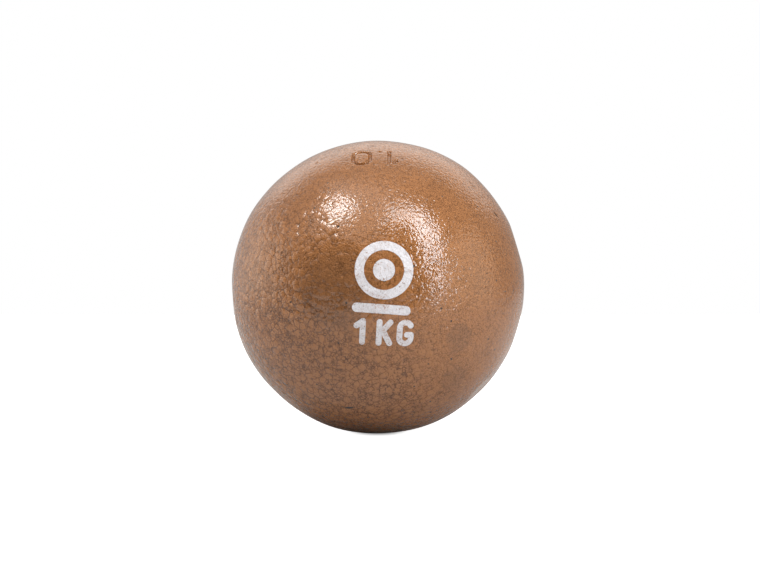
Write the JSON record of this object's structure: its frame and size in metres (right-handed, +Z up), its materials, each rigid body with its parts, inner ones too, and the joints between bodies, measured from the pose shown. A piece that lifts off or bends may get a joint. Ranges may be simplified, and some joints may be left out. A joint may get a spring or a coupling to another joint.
{
  "type": "throwing ball",
  "caption": "Solid cast-iron throwing ball with a hammertone enamel finish, a trimmed-mass core and a white print, for throwing practice and strength exercise.",
  "frame": {"origin": "centre of the ball", "axes": "+Z is up as the ball lies at rest, away from the ballast bore; -Y points out of the printed side; +X is to the right of someone who looks at the print"},
  "size_m": [0.0644, 0.0645, 0.0644],
  "materials": {
    "hammertone_enamel": "gloss",
    "bare_iron": "matte",
    "lead": "matte",
    "screw_steel": "satin",
    "body_filler": "matte",
    "white_ink": "satin"
  },
  "bodies": {
    "root": {"iron_casting": "bare_iron", "lead_ballast": "lead", "closing_screw": "screw_steel", "filler_cap": "body_filler", "enamel_coat": "hammertone_enamel", "emblem_print": "white_ink", "legend_print": "white_ink"}
  },
  "joints": []
}
